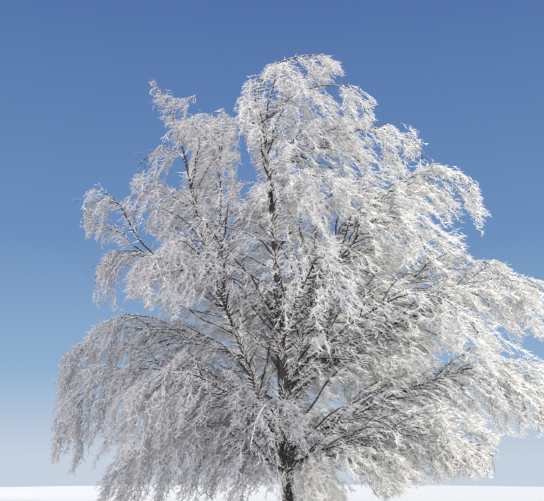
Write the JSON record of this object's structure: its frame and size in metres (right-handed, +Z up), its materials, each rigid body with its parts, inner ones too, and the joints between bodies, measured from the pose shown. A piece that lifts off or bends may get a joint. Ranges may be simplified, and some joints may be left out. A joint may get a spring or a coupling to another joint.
{
  "type": "bare winter birch tree",
  "caption": "Bare winter birch thick with hoar frost: a trunk forked low into upright stems, arching boughs and hanging sprays of frosted twigs, cut flat at ground level.",
  "frame": {"origin": "middle of the flat cut under the trunk, at ground level", "axes": "+Z up the trunk, +X to the right and +Y away from the viewer in the pictured view"},
  "size_m": [14.8059, 11.2705, 13.9813],
  "materials": {
    "bark": "rough, cracked dark bark with traces of frost",
    "frosted_twigs": "thin dark twigs coated with matt white hoar frost"
  },
  "bodies": {
    "root": {"trunk": "bark", "left_stem": "bark", "right_stem": "bark", "left_inner_bough": "bark", "left_far_bough": "bark", "left_far_low_bough": "bark", "left_mid_bough": "bark", "left_low_bough": "bark", "left_lowest_bough": "bark", "right_lowest_bough": "bark", "right_low_bough": "bark", "right_mid_bough": "bark", "right_upper_bough": "bark", "right_high_bough": "bark", "right_top_bough": "bark", "front_low_bough": "bark", "front_right_bough": "bark", "front_left_bough": "bark", "front_mid_bough": "bark", "front_left_high_bough": "bark", "front_right_high_bough": "bark", "back_low_bough": "bark", "back_right_bough": "bark", "back_left_bough": "bark", "back_mid_bough": "bark", "back_left_high_bough": "bark", "back_right_high_bough": "bark", "trunk_twigs": "frosted_twigs", "left_stem_twigs": "frosted_twigs", "right_stem_twigs": "frosted_twigs", "left_inner_twigs": "frosted_twigs", "left_far_twigs": "frosted_twigs", "left_far_low_twigs": "frosted_twigs", "left_mid_twigs": "frosted_twigs", "left_low_twigs": "frosted_twigs", "left_lowest_twigs": "frosted_twigs", "right_lowest_twigs": "frosted_twigs", "right_low_twigs": "frosted_twigs", "right_mid_twigs": "frosted_twigs", "right_upper_twigs": "frosted_twigs", "right_high_twigs": "frosted_twigs", "right_top_twigs": "frosted_twigs", "front_low_twigs": "frosted_twigs", "front_right_twigs": "frosted_twigs", "front_left_twigs": "frosted_twigs", "front_mid_twigs": "frosted_twigs", "front_left_high_twigs": "frosted_twigs", "front_right_high_twigs": "frosted_twigs", "back_low_twigs": "frosted_twigs", "back_right_twigs": "frosted_twigs", "back_left_twigs": "frosted_twigs", "back_mid_twigs": "frosted_twigs", "back_left_high_twigs": "frosted_twigs", "back_right_high_twigs": "frosted_twigs", "crown_right_twigs": "frosted_twigs", "crown_front_twigs": "frosted_twigs", "crown_back_twigs": "frosted_twigs", "left_high_twigs": "frosted_twigs", "left_top_twigs": "frosted_twigs", "foot_twigs": "frosted_twigs"}
  },
  "joints": []
}
